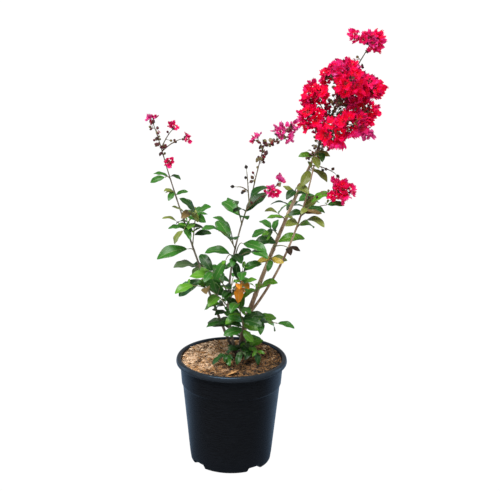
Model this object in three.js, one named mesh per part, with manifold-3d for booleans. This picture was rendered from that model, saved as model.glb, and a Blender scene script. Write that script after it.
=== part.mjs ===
// A young crape myrtle in a black nursery pot: slender leaning stems, arching leaf shoots, one long
// flower panicle over the right-hand side and a few small flower sprays elsewhere.
// Millimetres, +Z up, X to the right, Y away. The origin is the centre of the pot's flat underside.

import * as THREE from "three";
import { mergeVertices } from "three/addons/utils/BufferGeometryUtils.js";
import Module from "manifold-3d";

const wasm = await Module();
wasm.setup();

// ---------------------------------------------------------------- driving dimensions

const CLEARANCE = 0.3; // between two solids that lie next to each other
const TOO_CLOSE = 0.9 * CLEARANCE;

const POT = {
  height: 258,
  rimRadius: 130,
  skirtDepth: 12, // the folded edge that hangs down outside the rim
  collarRadius: 121,
  collarFootRadius: 117,
  collarFootHeight: 196,
  bodyRadius: 114.5,
  bodyTopHeight: 194,
  bodyFootRadius: 97,
  bodyFootHeight: 20,
  baseRadius: 94.5,
  cornerRadius: 4,
  rimBevel: 1.5,
  wall: 2.4,
  floor: 3,
  facets: 32,
};
const DRAIN = { count: 4, firstAngle: -52, width: 42, height: 8, depth: 16 };
const SOIL = { level: 247, flatRadius: 62 };
const GROUND = SOIL.level + CLEARANCE; // where the stems are cut flat

// Limbs run from foot to tip and stand off the straight line by `bow` half way up.
// `flare` is what the foot is thicker by than the taper, and dies away over FLARE_HEIGHT.
const FLARE_HEIGHT = 14;
const LIMB_SIDES = 8;
const LIMB_STEPS = 8;
const RINGS_LOW = 1.4; // above 1, the rings of a limb stand closer together near its foot
const LIMBS = {
  trunk: { foot: [24, 30, GROUND], tip: [40, 22, 364], bow: [-6, 0, 0], radii: [7.5, 5.6], flare: 5 },
  bough_right: { foot: [40, 22, 364], tip: [190, 20, 758], bow: [-4, 9, 1], radii: [5.6, 2.8], flare: 0 },
  bough_outer: { foot: [36, 23, 352], tip: [180, -12, 727], bow: [17, -15, -14], radii: [3.4, 1.6], flare: 0.6 },
  stem_left: { foot: [7, 41, GROUND], tip: [-160, 70, 714], bow: [2, 5, -30], radii: [3.6, 1.3], flare: 1.6 },
  stem_middle: { foot: [14, 20, GROUND], tip: [44, -45, 674], bow: [-36, -2, -20], radii: [3.6, 1.4], flare: 1.6 },
  panicle_axis: { foot: [190, 20, 758], tip: [299, 10, 1000], bow: [-9, 5, -3], radii: [2.4, 1], flare: 0.4 },
};

// Leaf shoots: name, what it springs from, how far along that, tip, rise of its arch at the middle,
// leaf length, number of leaves, and the side that the first pair faces (0 level, 90 up and down).
const LEAF_SHOOTS = [
  ["left_paddle", "stem_left", 0.6, [-103, 56, 504], 2, 98, 1, 0],
  ["left_low_back", "stem_left", 0.5, [-50, 112, 436], 6, 46, 5, 0],
  ["left_under", "left_low_back", 0.12, [-86, 52, 464], 2, 70, 1, 0],
  ["left_low_drop", "left_low_back", 0.12, [-71, 48, 433], 4, 64, 2, 0],
  ["left_inner", "left_low_back", 0.12, [-65, 46, 461], 2, 54, 1, 0],
  ["left_fan", "stem_left", 0.62, [-85, 22, 600], 8, 50, 6, 30],
  ["left_mid_out", "stem_left", 0.66, [-130, 50, 571], 6, 40, 3, 0],
  ["left_drop", "left_mid_out", 0.25, [-113, 30, 558], 8, 54, 4, 0],
  ["left_mid_back", "stem_left", 0.7, [-96, 112, 575], 6, 46, 6, 20],
  ["left_curl", "stem_left", 0.74, [-100, 35, 600], 8, 44, 4, 30],
  ["left_high", "stem_left", 0.84, [-138, 52, 643], 4, 40, 4, 0],
  ["left_tiny", "stem_left", 0.92, [-157, 55, 677], 4, 32, 3, 0],
  ["middle_sweep_left", "stem_middle", 0.36, [-88, -25, 442], 14, 64, 6, 0],
  ["middle_low_left", "stem_middle", 0.27, [-26, 14, 384], 12, 56, 5, 0],
  ["middle_inner_left", "stem_middle", 0.44, [-45, -40, 480], 8, 58, 6, 20],
  ["middle_left", "stem_middle", 0.66, [-14, -50, 516], 9, 54, 3, 0],
  ["middle_high_left", "stem_middle", 0.71, [-31, -48, 582], 10, 62, 3, 0],
  ["middle_arch_left", "middle_high_left", 0.12, [-4, -45, 581], 2, 66, 1, 0],
  ["middle_right", "stem_middle", 0.63, [40, -62, 538], 6, 56, 3, 0],
  ["middle_twig_right", "middle_right", 0.12, [22, -43, 552], 14, 64, 1, 90],
  ["middle_top_left", "stem_middle", 0.84, [9, -58, 644], 4, 60, 3, 20],
  ["middle_top", "stem_middle", 0.87, [38, -56, 656], 2, 60, 3, 0],
  ["middle_heart", "stem_middle", 0.38, [24, -58, 489], 8, 52, 6, 0],
  ["middle_back", "stem_middle", 0.34, [0, 95, 420], 10, 54, 7, 0],
  ["right_low", "bough_right", 0.1, [68, -5, 441], 3, 50, 4, 0],
  ["right_gold", "bough_right", 0.3, [90, -5, 500], 5, 38, 6, 0],
  ["right_inner", "bough_right", 0.46, [80, 30, 560], 8, 52, 5, 0],
  ["right_notch", "bough_right", 0.56, [106, 18, 601], 2, 42, 3, 150],
  ["right_outer", "bough_outer", 0.64, [161, -22, 598], 2, 66, 3, 30],
  ["right_mid", "bough_right", 0.38, [101, 8, 537], 2, 72, 2, 0],
  ["right_dead", "right_mid", 0.3, [126, -30, 539], 4, 34, 2, 0],
  ["right_back", "bough_right", 0.6, [150, 100, 610], 8, 52, 6, 0],
  ["right_high", "bough_right", 0.68, [142, 5, 670], 5, 44, 5, 30],
  ["right_wing", "bough_outer", 0.7, [175, -25, 643], 4, 60, 3, 0],
  ["right_crook", "right_wing", 0.12, [166, -48, 637], 4, 44, 4, 0],
  ["right_far", "right_wing", 0.15, [210, -30, 641], 5, 50, 1, 0],
  ["right_top_left", "bough_right", 0.85, [173, 8, 711], 5, 50, 2, 150],
  ["right_crown", "bough_right", 0.94, [178, 0, 745], 5, 44, 3, 150],
  ["right_crown_drop", "right_crown", 0.2, [193, -12, 758], 5, 50, 1, 0],
  ["low_right", "trunk", 0.75, [105, 0, 343], 4, 56, 5, 30],
  ["low_left", "stem_middle", 0.16, [-15, 5, 338], 8, 46, 5, 0],
  ["low_heart", "trunk", 0.5, [25, -48, 365], 6, 52, 6, 0],
  ["low_upper", "low_heart", 0.4, [14, -40, 404], 4, 52, 8, 0],
  ["low_middle", "middle_heart", 0.1, [18, -58, 457], 6, 42, 4, 0],
  ["low_core", "low_right", 0.2, [26, -30, 338], 6, 44, 4, 0],
  ["foot_left", "trunk", 0.1, [-10, -25, 272], 8, 44, 4, 0],
  ["foot_front", "foot_left", 0.15, [22, -32, 282], 6, 38, 3, 0],
  ["foot_right", "trunk", 0.2, [54, -10, 276], 8, 36, 5, 0],
  ["foot_back", "trunk", 0.24, [35, 90, 272], 8, 44, 5, 0],
];

// Flower sprays: name, what it springs from, how far along that, tip, rise of its arch,
// flower width, number of flowers, of closed buds and of dry seed pods.
const FLOWER_SPRAYS = [
  ["bloom_tip", "panicle_axis", 0.97, [299, 10, 1002], 2, 30, 10, 0, 1],
  ["bloom_tip_left", "bloom_tip", 0.3, [272, 0, 1016], 4, 26, 3, 0, 0],
  ["bloom_high_left", "panicle_axis", 0.52, [212, 26, 926], 6, 32, 5, 1, 0],
  ["bloom_high", "panicle_axis", 0.68, [250, -18, 938], 6, 34, 8, 0, 0],
  ["bloom_right", "panicle_axis", 0.5, [297, 0, 908], 6, 37, 9, 0, 0],
  ["bloom_front", "panicle_axis", 0.42, [252, -56, 930], 6, 36, 5, 2, 0],
  ["bloom_left", "panicle_axis", 0.26, [178, 8, 878], 8, 37, 11, 0, 0],
  ["bloom_low_left", "panicle_axis", 0.12, [168, -18, 842], 8, 34, 8, 2, 0],
  ["bloom_low_right", "panicle_axis", 0.2, [288, -18, 851], 6, 38, 10, 0, 0],
  ["bloom_pink", "bloom_low_right", 0.5, [288, -30, 816], 4, 28, 2, 1, 0],
  ["bloom_low", "panicle_axis", 0.06, [226, -50, 812], 8, 37, 10, 1, 0],
  ["bloom_mid", "bloom_low", 0.3, [262, -68, 838], 6, 35, 5, 1, 0],
  ["bloom_back", "panicle_axis", 0.3, [268, 78, 872], 8, 36, 7, 1, 0],
  ["bloom_back_high", "bloom_back", 0.4, [257, 80, 924], 8, 34, 5, 1, 0],
  ["spray_left", "stem_left", 0.985, [-184, 60, 800], 4, 27, 1, 4, 0],
  ["spray_left_side", "spray_left", 0.35, [-142, 52, 788], 4, 27, 1, 2, 0],
  ["spray_left_out", "spray_left", 0.28, [-121, 52, 768], 4, 26, 1, 2, 0],
  ["spray_left_low", "spray_left", 0.08, [-152, 60, 716], 1, 26, 1, 1, 0],
  ["spray_side", "bough_outer", 0.8, [246, -45, 679], 6, 29, 9, 1, 0],
  ["spray_middle", "stem_middle", 0.91, [95, -74, 696], 4, 28, 3, 1, 0],
  ["spray_spent", "stem_middle", 0.99, [68, -55, 785], 4, 22, 0, 4, 3],
  ["spray_spent_tip", "spray_spent", 0.85, [60, -60, 788], 2, 24, 1, 1, 0],
  ["spray_spent_side", "spray_spent", 1, [120, -60, 822], -8, 30, 5, 1, 0],
  ["seed_head_middle", "stem_middle", 0.95, [30, -52, 722], 4, 20, 0, 0, 4],
  ["seed_head_middle_left", "seed_head_middle", 0.3, [9, -60, 689], 4, 20, 0, 0, 2],
  ["seed_head_right", "bough_right", 0.9, [228, 10, 705], 4, 20, 0, 0, 5],
];

// How leaves sit and bend. Pairs of numbers are the least and the most of what a draw picks.
const LEAF_HABIT = {
  firstPair: 0.32, // where the first pair stands along its twig
  lowest: 0.1,
  stagger: 0.06, // how much lower the second leaf of a pair stands
  stray: 0.7, // round the twig, in radians
  turnStray: 0.8,
  steepFrom: 0.75, // how upright a twig is, as the sine of its slope, from where its pairs turn
  spreadAlone: [4, 24], // off the twig's own heading, in degrees
  spreadLast: [26, 54],
  spreadPair: [42, 74],
  rise: 0.35, // how much a leaf starts off towards the light before it droops
  leanAlong: 0.3, // how much its upper face leans towards its twig's tip
  roll: 1,
  length: [0.74, 1.22], // as shares of the shoot's leaf length
  width: [0.36, 0.45], // as shares of the leaf's length
  droop: [0.7, 1.6], // in radians from root to tip
};

// How flowers, buds and pods sit on their spray, in the same way.
const HEAD_HABIT = {
  spreadLast: [8, 33],
  spreadSide: [45, 80],
  stalk: [0.75, 1.25], // as shares of the flower width times the spray's reach
  radius: [0.42, 0.58], // as shares of the flower width
  flower: { start: 0.62, reach: 0.55 }, // how far up the spray they start, and their stalk's reach
  bud: { start: 0.3, reach: 0.5 },
  pod: { start: 0.2, reach: 0.5 },
};

const LEAF_TWIG = { radii: [1.5, 0.9], steps: 3, sides: 3 };
const SPRAY_TWIG = { radii: [1.4, 0.9], steps: 3, sides: 3 };
const STALK_RADIUS = 0.8;
const BUD_RADIUS = 3;
const POD_RADIUS = 4;
const SLIVER = 0.01; // edges shorter than this are closed up when a mass is done

const COLOURS = {
  pot: 0x17191b,
  soil: 0x8a6a48,
  bark: 0x8a7660,
  leaf: 0x3f6b2c,
  bloom: 0xc8102e,
};

// ---------------------------------------------------------------- small helpers

const UP = new THREE.Vector3(0, 0, 1);
const LIGHT = new THREE.Vector3(0, -0.3, 0.95); // what the upper faces of the leaves turn to
const FULL_TURN = 2 * Math.PI;
const GOLDEN_ANGLE = FULL_TURN * 0.381966;

const vector = (list) => new THREE.Vector3(...list);
const radians = THREE.MathUtils.degToRad;
const mix = THREE.MathUtils.lerp;
const within = ([least, most], share) => mix(least, most, share);

// Random numbers from 0 to 1 that are the same for the same name on every machine.
function drawFor(name) {
  let state = 1;
  for (let i = 0; i < name.length; i += 1) {
    state = (state * 31 + name.charCodeAt(i)) % 2147483646;
  }
  state += 1;
  const draw = () => {
    state = (state * 48271) % 2147483647;
    return state / 2147483647;
  };
  draw();
  draw();
  return draw;
}

// An arc from foot to tip that stands off its chord by `bow` at the middle.
class Arc {
  constructor(foot, tip, bow) {
    this.foot = foot;
    this.chord = tip.clone().sub(foot);
    this.bow = bow;
    this.level = new THREE.Vector3().crossVectors(this.chord, UP).normalize();
  }

  at(t) {
    return this.foot.clone().addScaledVector(this.chord, t).addScaledVector(this.bow, 4 * t * (1 - t));
  }

  heading(t) {
    return this.chord.clone().addScaledVector(this.bow, 4 * (1 - 2 * t)).normalize();
  }

  // A unit vector square to the arc: angle 0 is level to its right, a quarter turn is its upper side.
  across(t, angle) {
    const ahead = this.heading(t);
    const side = this.level.clone().addScaledVector(ahead, -this.level.dot(ahead)).normalize();
    const top = new THREE.Vector3().crossVectors(side, ahead);
    return side.multiplyScalar(Math.cos(angle)).addScaledVector(top, Math.sin(angle));
  }

  // Points round the arc at t, counter-clockwise as seen from its tip.
  ring(t, radius, sides) {
    const middle = this.at(t);
    const points = [];
    for (let k = 0; k < sides; k += 1) {
      points.push(middle.clone().addScaledVector(this.across(t, -FULL_TURN * k / sides), radius));
    }
    return points;
  }
}

// A closed surface through rings of points; the first and the last ring may be a single point.
function loft(rings) {
  const starts = [];
  let total = 0;
  for (const ring of rings) {
    starts.push(total);
    total += ring.length;
  }
  const faces = [];
  const last = rings.length - 1;
  for (let i = 0; i < last; i += 1) {
    const sides = Math.max(rings[i].length, rings[i + 1].length);
    for (let k = 0; k < sides; k += 1) {
      const next = (k + 1) % sides;
      const low = [starts[i] + k % rings[i].length, starts[i] + next % rings[i].length];
      const high = [starts[i + 1] + k % rings[i + 1].length, starts[i + 1] + next % rings[i + 1].length];
      if (low[0] !== low[1]) faces.push(low[0], low[1], high[1]);
      if (high[0] !== high[1]) faces.push(low[0], high[1], high[0]);
    }
  }
  for (let k = 1; k < rings[0].length - 1; k += 1) {
    faces.push(starts[0], starts[0] + k + 1, starts[0] + k);
  }
  for (let k = 1; k < rings[last].length - 1; k += 1) {
    faces.push(starts[last], starts[last] + k, starts[last] + k + 1);
  }
  const geometry = new THREE.BufferGeometry().setFromPoints(rings.flat());
  geometry.setIndex(faces);
  return geometry;
}

// A manifold solid from a closed geometry.
function solidOf(geometry) {
  geometry.deleteAttribute("normal");
  geometry.deleteAttribute("uv");
  const merged = mergeVertices(geometry, 1e-4);
  const mesh = new wasm.Mesh({
    numProp: 3,
    vertProperties: Float32Array.from(merged.attributes.position.array),
    triVerts: Uint32Array.from(merged.index.array),
  });
  return new wasm.Manifold(mesh);
}

// The largest body of a solid: loose scraps and sealed hollows are left out.
function mainBody(solid) {
  const bodies = solid.decompose();
  return bodies.reduce((best, body) => (body.volume() > best.volume() ? body : best));
}

// A named mesh of a solid, whose own origin is at `foot`.
function meshOf(name, solid, foot, colour, roughness) {
  const { vertProperties, triVerts } = solid.getMesh();
  const indexed = new THREE.BufferGeometry();
  indexed.setAttribute("position", new THREE.BufferAttribute(Float32Array.from(vertProperties), 3));
  indexed.setIndex(Array.from(triVerts));
  indexed.translate(-foot.x, -foot.y, -foot.z);
  const geometry = indexed.toNonIndexed();
  geometry.computeVertexNormals();
  const material = new THREE.MeshStandardMaterial({ color: colour, roughness, metalness: 0 });
  const mesh = new THREE.Mesh(geometry, material);
  mesh.name = name;
  mesh.position.copy(foot);
  return mesh;
}

// ---------------------------------------------------------------- pot and soil

// Radius and height up the outside of the pot's wall, from its underside to the rim.
function wallLine() {
  return [
    [POT.baseRadius - POT.cornerRadius, 0],
    [POT.baseRadius, POT.cornerRadius],
    [POT.bodyFootRadius, POT.bodyFootHeight],
    [POT.bodyRadius, POT.bodyTopHeight],
    [POT.collarFootRadius, POT.collarFootHeight],
    [POT.collarRadius, POT.height - POT.skirtDepth],
  ];
}

// The same line moved in by `inset`, starting on a floor at the height `floor`.
function insideLine(inset, floor) {
  return wallLine().slice(1).map(([radius, height], i) => [radius - inset, i === 0 ? floor : height]);
}

function lathe(outline) {
  const points = outline.map(([radius, height]) => new THREE.Vector2(radius, height));
  const geometry = new THREE.LatheGeometry(points, POT.facets);
  geometry.rotateX(Math.PI / 2);
  return geometry;
}

function potSolid() {
  const inside = insideLine(POT.wall, POT.floor);
  const under = POT.height - POT.wall;
  const rim = [
    [POT.collarRadius, under],
    [POT.rimRadius - POT.wall, under],
    [POT.rimRadius - POT.wall, POT.height - POT.skirtDepth],
    [POT.rimRadius, POT.height - POT.skirtDepth],
    [POT.rimRadius, POT.height - POT.rimBevel],
    [POT.rimRadius - POT.rimBevel, POT.height],
    [POT.collarRadius - POT.wall, POT.height],
  ];
  const outline = [[0, 0], ...wallLine(), ...rim, ...inside.reverse(), [0, POT.floor]];
  let pot = solidOf(lathe(outline));
  for (let i = 0; i < DRAIN.count; i += 1) {
    const angle = radians(DRAIN.firstAngle) + FULL_TURN * i / DRAIN.count;
    const hole = new THREE.BoxGeometry(DRAIN.depth, DRAIN.width, 2 * DRAIN.height);
    hole.translate(POT.baseRadius, 0, 0);
    hole.rotateZ(angle);
    pot = pot.subtract(solidOf(hole));
  }
  return mainBody(pot);
}

function soilSolid() {
  const floor = POT.floor + CLEARANCE;
  const side = insideLine(POT.wall + CLEARANCE, floor);
  return solidOf(lathe([[0, floor], ...side, [SOIL.flatRadius, SOIL.level], [0, SOIL.level]]));
}

// ---------------------------------------------------------------- limbs

// A limb as a tapering tube, thicker all round by `extra`, with its foot cut level at the ground.
function limbSolid(arc, limb, extra) {
  const span = arc.chord.length();
  const rings = [];
  for (let i = 0; i <= LIMB_STEPS; i += 1) {
    const t = (i / LIMB_STEPS) ** RINGS_LOW;
    const flare = limb.flare * Math.exp(-t * span / FLARE_HEIGHT);
    const radius = mix(limb.radii[0], limb.radii[1], t) + flare;
    rings.push(arc.ring(t, radius + extra / Math.cos(Math.PI / LIMB_SIDES), LIMB_SIDES));
  }
  if (limb.foot[2] === GROUND) {
    const ahead = arc.heading(0);
    for (const point of rings[0]) {
      point.addScaledVector(ahead, (GROUND - point.z) / ahead.z);
    }
  }
  if (extra > 0) {
    for (const point of rings[LIMB_STEPS]) point.addScaledVector(arc.heading(1), extra);
  }
  return solidOf(loft(rings));
}

// ---------------------------------------------------------------- growth rule

// A leaf lies along `ahead` from `root`, its upper face towards `face`, and droops towards its tip.
function makeLeaf(root, ahead, lift, roll, length, width, droop) {
  const level = new THREE.Vector3().crossVectors(ahead, lift).normalize();
  const over = new THREE.Vector3().crossVectors(level, ahead);
  const side = level.multiplyScalar(Math.cos(roll)).addScaledVector(over, Math.sin(roll));
  const face = new THREE.Vector3().crossVectors(side, ahead);
  return { root, ahead, side, face, length, width, droop };
}

// Leaves in pairs up a twig; an odd one ends it. A steep twig turns each pair square to the last.
function growLeaves(arc, leafLength, count, firstTurn, draw) {
  const leaves = [];
  const pairs = Math.ceil(count / 2);
  const steep = arc.chord.clone().normalize().z > LEAF_HABIT.steepFrom;
  let turn = radians(firstTurn);
  for (let i = 0; i < pairs; i += 1) {
    const last = i === pairs - 1;
    const alone = last && count % 2 === 1;
    const where = last ? 1 : mix(LEAF_HABIT.firstPair, 1, i / (pairs - 1));
    for (let k = 0; k < (alone ? 1 : 2); k += 1) {
      const [a, b, c, d, e] = [draw(), draw(), draw(), draw(), draw()];
      const t = Math.max(where - (last ? 0 : LEAF_HABIT.stagger * k), LEAF_HABIT.lowest);
      const ahead = arc.heading(t);
      const out = arc.across(t, turn + Math.PI * k + (a - 0.5) * LEAF_HABIT.stray);
      const wide = last ? LEAF_HABIT.spreadLast : LEAF_HABIT.spreadPair;
      const spread = radians(within(alone ? LEAF_HABIT.spreadAlone : wide, b));
      const along = ahead.clone().multiplyScalar(Math.cos(spread)).addScaledVector(out, Math.sin(spread));
      along.addScaledVector(LIGHT, LEAF_HABIT.rise).normalize();
      const lift = LIGHT.clone().addScaledVector(ahead, LEAF_HABIT.leanAlong);
      const length = leafLength * within(LEAF_HABIT.length, c);
      const width = length * within(LEAF_HABIT.width, a);
      const droop = within(LEAF_HABIT.droop, e);
      leaves.push(makeLeaf(arc.at(t), along, lift, (d - 0.5) * LEAF_HABIT.roll, length, width, droop));
    }
    turn += (steep ? Math.PI / 2 : 0) + (draw() - 0.5) * LEAF_HABIT.turnStray;
  }
  return leaves;
}

// Flowers, buds or pods on stalks, spiralling up a spray by the golden angle from `start` to its tip.
function growHeads(arc, width, count, { start, reach }, draw) {
  const heads = [];
  let turn = draw() * FULL_TURN;
  for (let i = 0; i < count; i += 1) {
    const [a, b, c] = [draw(), draw(), draw()];
    const last = i === count - 1;
    const t = last ? 1 : mix(start, 1, (i + 0.5 * a) / Math.max(count - 1, 1));
    const out = arc.across(t, turn);
    const spread = radians(within(last ? HEAD_HABIT.spreadLast : HEAD_HABIT.spreadSide, b));
    const ahead = arc.heading(t).multiplyScalar(Math.cos(spread)).addScaledVector(out, Math.sin(spread));
    const stalk = width * reach * within(HEAD_HABIT.stalk, c);
    heads.push({ root: arc.at(t), ahead, stalk, radius: width * within(HEAD_HABIT.radius, a), turn });
    turn += GOLDEN_ANGLE;
  }
  return heads;
}

// ---------------------------------------------------------------- solids of the growth

function twigSolid(arc, { radii, steps, sides }) {
  const rings = [];
  for (let i = 0; i <= steps; i += 1) {
    rings.push(arc.ring(i / steps, mix(radii[0], radii[1], i / steps), sides));
  }
  return solidOf(loft(rings));
}

// A folded, pointed blade: half width and keel depth at two places along its drooping midrib.
const LEAF_SECTIONS = [
  { t: 0.3, half: 0.46, keel: 1.1 },
  { t: 0.66, half: 0.42, keel: 0.9 },
];
const LEAF_FOLD = 0.2; // how far the edges stand above the midrib, as a share of the half width
const ROOT_DEPTH = 1.2; // how far a leaf's root runs past the middle of its twig

function midrib(leaf, t) {
  const bend = leaf.droop * t;
  const radius = leaf.length / leaf.droop;
  const point = leaf.root.clone();
  point.addScaledVector(leaf.ahead, radius * Math.sin(bend));
  point.addScaledVector(leaf.face, -radius * (1 - Math.cos(bend)));
  const up = leaf.face.clone().multiplyScalar(Math.cos(bend)).addScaledVector(leaf.ahead, Math.sin(bend));
  return { point, up };
}

function leafSolid(leaf) {
  const rings = LEAF_SECTIONS.map(({ t, half, keel }) => {
    const { point, up } = midrib(leaf, t);
    const reach = leaf.width * half;
    const edge = point.clone().addScaledVector(up, LEAF_FOLD * reach);
    return [
      edge.clone().addScaledVector(leaf.side, -reach),
      edge.clone().addScaledVector(leaf.side, reach),
      point.clone().addScaledVector(up, -keel),
    ];
  });
  const root = leaf.root.clone().addScaledVector(leaf.ahead, -ROOT_DEPTH);
  return solidOf(loft([[root], ...rings, [midrib(leaf, 1).point]]));
}

const PETALS = 6;
const CUP = { below: 0.3, above: 0.1, rim: 0.28 }; // heights off its middle, as shares of its radius

// A six-petalled flower as a shallow six-sided cup.
function flowerCup(head, stalk) {
  const middle = stalk.at(1);
  const rim = [];
  for (let k = 0; k < PETALS; k += 1) {
    const point = middle.clone().addScaledVector(head.ahead, CUP.rim * head.radius);
    rim.push(point.addScaledVector(stalk.across(1, head.turn - FULL_TURN * k / PETALS), head.radius));
  }
  const below = middle.clone().addScaledVector(head.ahead, -CUP.below * head.radius);
  const above = middle.clone().addScaledVector(head.ahead, CUP.above * head.radius);
  return solidOf(loft([[below], rim, [above]]));
}

// A bud or pod as a small eight-sided bead.
function bead(radius, stalk) {
  const geometry = new THREE.OctahedronGeometry(radius);
  geometry.translate(...stalk.at(1).toArray());
  return solidOf(geometry);
}

const budBead = (head, stalk) => bead(BUD_RADIUS, stalk);
const podBead = (head, stalk) => bead(POD_RADIUS, stalk);

function stalkOf(head) {
  const tip = head.root.clone().addScaledVector(head.ahead, head.stalk);
  return new Arc(head.root, tip, new THREE.Vector3());
}

function stalkSolid(stalk) {
  return twigSolid(stalk, { radii: [STALK_RADIUS, STALK_RADIUS], steps: 1, sides: 3 });
}

// ---------------------------------------------------------------- building

const arcs = {}; // of every limb and shoot, by name
const standing = {}; // the solid of every node so far, by name
const plant = new THREE.Group();
const container = new THREE.Group();

function boxesMeet(a, b, margin) {
  const [first, second] = [a.boundingBox(), b.boundingBox()];
  return [0, 1, 2].every((axis) => (
    first.min[axis] - margin < second.max[axis] && second.min[axis] - margin < first.max[axis]
  ));
}

// The name of another node that a solid would touch, if there is one.
function touched(solid, ownName) {
  return Object.keys(standing).find((name) => (
    name !== ownName
    && boxesMeet(solid, standing[name], CLEARANCE)
    && solid.minGap(standing[name], 1) < TOO_CLOSE
  ));
}

function buildLimb(name, limb) {
  const arc = new Arc(vector(limb.foot), vector(limb.tip), vector(limb.bow));
  let solid = limbSolid(arc, limb, 0);
  for (const earlier of Object.keys(arcs)) {
    solid = solid.subtract(limbSolid(arcs[earlier], LIMBS[earlier], CLEARANCE));
  }
  arcs[name] = arc;
  standing[name] = mainBody(solid);
}

// Fuses the leaves of one shoot to its mass, without those that would touch another node.
function addLeaves(massName, [name, , , , , leafLength, count, firstTurn]) {
  for (const leaf of growLeaves(arcs[name], leafLength, count, firstTurn, drawFor(name))) {
    const blade = leafSolid(leaf);
    if (!touched(blade, massName)) standing[massName] = standing[massName].add(blade);
  }
}

// Fuses the flowers, buds and pods of one spray to its mass, each clear of those already there.
function addHeads(massName, [name, , , , , width, flowers, buds, pods]) {
  const draw = drawFor(name);
  const kinds = [
    { heads: growHeads(arcs[name], width, flowers, HEAD_HABIT.flower, draw), shape: flowerCup },
    { heads: growHeads(arcs[name], width, buds, HEAD_HABIT.bud, draw), shape: budBead },
    { heads: growHeads(arcs[name], width, pods, HEAD_HABIT.pod, draw), shape: podBead },
  ];
  for (const { heads, shape } of kinds) {
    for (const head of heads) {
      const stalk = stalkOf(head);
      const stem = stalkSolid(stalk);
      const body = shape(head, stalk);
      const crowded = body.minGap(standing[massName], 1) < CLEARANCE;
      if (crowded || touched(body, massName) || touched(stem, massName)) continue;
      standing[massName] = standing[massName].add(body).add(stem);
    }
  }
}

// Each mass is one shoot from a limb together with the shoots that spring from it.
function massesOf(rows, look) {
  return rows.filter((row) => row[1] in LIMBS).map((root) => ({
    ...look,
    name: look.prefix + root[0],
    limb: root[1],
    rows: [root, ...rows.filter((row) => row[1] === root[0])],
  }));
}

function buildTwigs(mass) {
  const twigs = mass.rows.map(([name, parent, along, tip, rise]) => {
    arcs[name] = new Arc(arcs[parent].at(along), vector(tip), UP.clone().multiplyScalar(rise));
    return twigSolid(arcs[name], mass.twig);
  });
  const own = limbSolid(arcs[mass.limb], LIMBS[mass.limb], CLEARANCE);
  standing[mass.name] = mainBody(twigs.reduce((sum, twig) => sum.add(twig)).subtract(own));
  const hit = touched(standing[mass.name], mass.name);
  if (hit) throw new Error(`the twigs of ${mass.name} touch ${hit}`);
}

standing.pot = potSolid();
standing.soil = soilSolid();
container.add(meshOf("pot", standing.pot, new THREE.Vector3(), COLOURS.pot, 0.5));
container.add(meshOf("soil", standing.soil, new THREE.Vector3(), COLOURS.soil, 0.95));

for (const [name, limb] of Object.entries(LIMBS)) {
  buildLimb(name, limb);
  plant.add(meshOf(name, standing[name], arcs[name].foot, COLOURS.bark, 0.8));
}

const masses = [
  ...massesOf(LEAF_SHOOTS, { prefix: "leaves_", twig: LEAF_TWIG, fill: addLeaves, colour: COLOURS.leaf }),
  ...massesOf(FLOWER_SPRAYS, { prefix: "", twig: SPRAY_TWIG, fill: addHeads, colour: COLOURS.bloom }),
];
for (const mass of masses) buildTwigs(mass);
for (const mass of masses) {
  for (const row of mass.rows) mass.fill(mass.name, row);
  const body = mainBody(standing[mass.name]).simplify(SLIVER);
  plant.add(meshOf(mass.name, body, arcs[mass.rows[0][0]].foot, mass.colour, 0.6));
}

const crapeMyrtle = new THREE.Group();
crapeMyrtle.add(container, plant);

export default crapeMyrtle;
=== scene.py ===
"""A young crape myrtle in a black nursery pot: its finish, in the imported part's own frame.

It grows in millimetres by the same seeded rule as the part's source, carried on to stalks, petals,
buds and small side leaves. A mesh is turned into metres when it is made.
"""

from functools import cache
from math import ceil, cos, exp, hypot, pi, radians, sin, sqrt
from types import SimpleNamespace as Record

import bpy
import numpy as np
from mathutils import Matrix, Vector, noise


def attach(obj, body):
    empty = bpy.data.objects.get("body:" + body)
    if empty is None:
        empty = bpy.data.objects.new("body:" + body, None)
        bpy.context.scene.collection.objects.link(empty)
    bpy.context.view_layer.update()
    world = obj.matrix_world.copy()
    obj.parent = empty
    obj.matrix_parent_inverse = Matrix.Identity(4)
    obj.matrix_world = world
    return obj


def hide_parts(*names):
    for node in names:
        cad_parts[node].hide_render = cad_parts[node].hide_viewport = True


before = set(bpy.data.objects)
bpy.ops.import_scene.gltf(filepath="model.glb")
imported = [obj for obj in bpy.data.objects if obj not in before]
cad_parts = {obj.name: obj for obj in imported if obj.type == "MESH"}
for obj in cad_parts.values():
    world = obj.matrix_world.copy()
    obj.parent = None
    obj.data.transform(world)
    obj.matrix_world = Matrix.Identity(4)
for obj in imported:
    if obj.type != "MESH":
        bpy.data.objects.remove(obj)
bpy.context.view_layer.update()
MM = 0.001

# ---- sizes shared with the solids, in mm

POT_HEIGHT = 258
RIM_RADIUS = 130
RIM_ROUND = (5, 9)  # how far in and how far down its outer edge is rounded
RIM_FOOT = 246
COLLAR_RADIUS = 121
COLLAR_FOOT = (114.5, 192.5)
WALL_FOOT = (97, 20)
DRAIN = Record(count=4, first_angle=-52, width=42, height=8, radius=95)
SOIL_LEVEL = 247
SOIL_RADIUS = 117
GROUND = 247.3  # where stems start, a little above the mix
FLARE_HEIGHT = 14

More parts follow.
